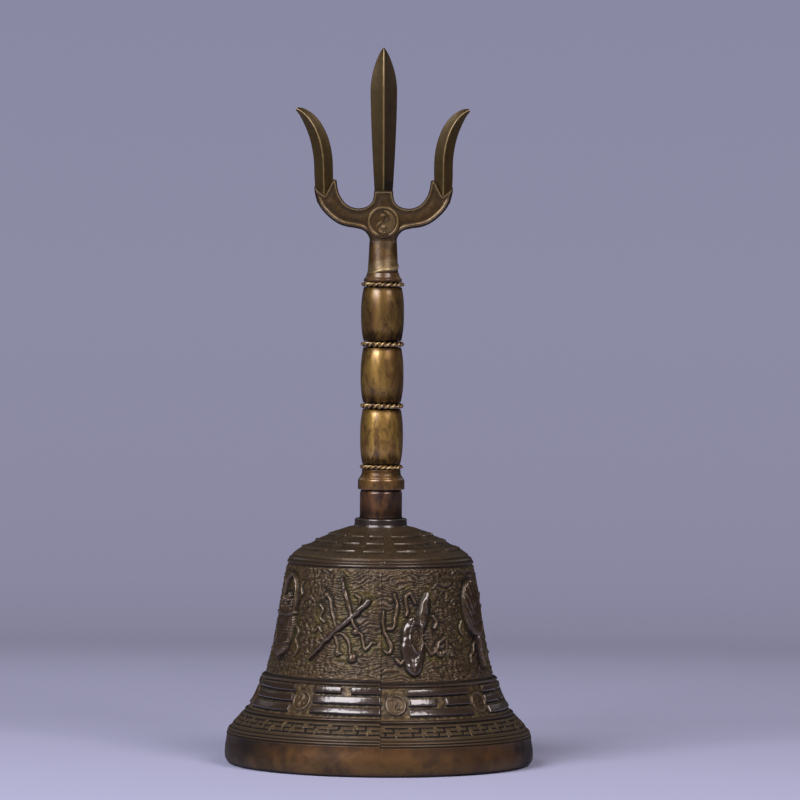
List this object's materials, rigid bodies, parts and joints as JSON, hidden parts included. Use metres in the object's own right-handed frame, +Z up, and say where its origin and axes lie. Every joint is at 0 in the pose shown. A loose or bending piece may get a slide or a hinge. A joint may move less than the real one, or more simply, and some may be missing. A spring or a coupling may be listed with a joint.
{
  "type": "ritual handbell",
  "caption": "Cast brass ritual handbell with a ringed grip, a trident finial and a clapper hanging from a swivel inside the cup.",
  "frame": {"origin": "centre of the circle the rim stands on", "axes": "+Z up along the handle, trident in the XZ plane, -Y the front"},
  "size_m": [0.0952, 0.0952, 0.2204],
  "materials": {
    "dark_bronze": "antiqued, polished on the high spots",
    "copper_brown": "satin",
    "aged_gilt": "antiqued, polished",
    "trident_bronze": "antiqued, polished on the edges",
    "inner_brass": "dull",
    "plain_steel": "dull"
  },
  "bodies": {
    "bell": {"bell_shell": "dark_bronze", "crown_flange": "dark_bronze", "handle_sleeve": "copper_brown", "ferrule_cap": "copper_brown", "rope_ring_bottom": "aged_gilt", "grip_barrel_lower": "aged_gilt", "rope_ring_lower": "aged_gilt", "grip_barrel_middle": "aged_gilt", "rope_ring_upper": "aged_gilt", "grip_barrel_upper": "aged_gilt", "rope_ring_top": "aged_gilt", "neck_collar": "aged_gilt", "trident_head": "trident_bronze", "tie_rod": "plain_steel", "crown_washer": "plain_steel", "hanger_nut": "inner_brass"},
    "swivel": {"clapper_stirrup": "plain_steel"},
    "clapper": {"clapper_rod": "inner_brass", "clapper_bob": "inner_brass", "bob_nut": "plain_steel"}
  },
  "joints": [
    {"name": "stirrup_swivel", "type": "hinge", "parent": "bell", "child": "swivel", "pos_m": [0, 0, 0.0613], "axis": [0, 0, 1], "continuous": true},
    {"name": "clapper_swing", "type": "hinge", "parent": "swivel", "child": "clapper", "pos_m": [0, 0, 0.0526], "axis": [0, 1, 0], "range_deg": [-39, 39]}
  ]
}
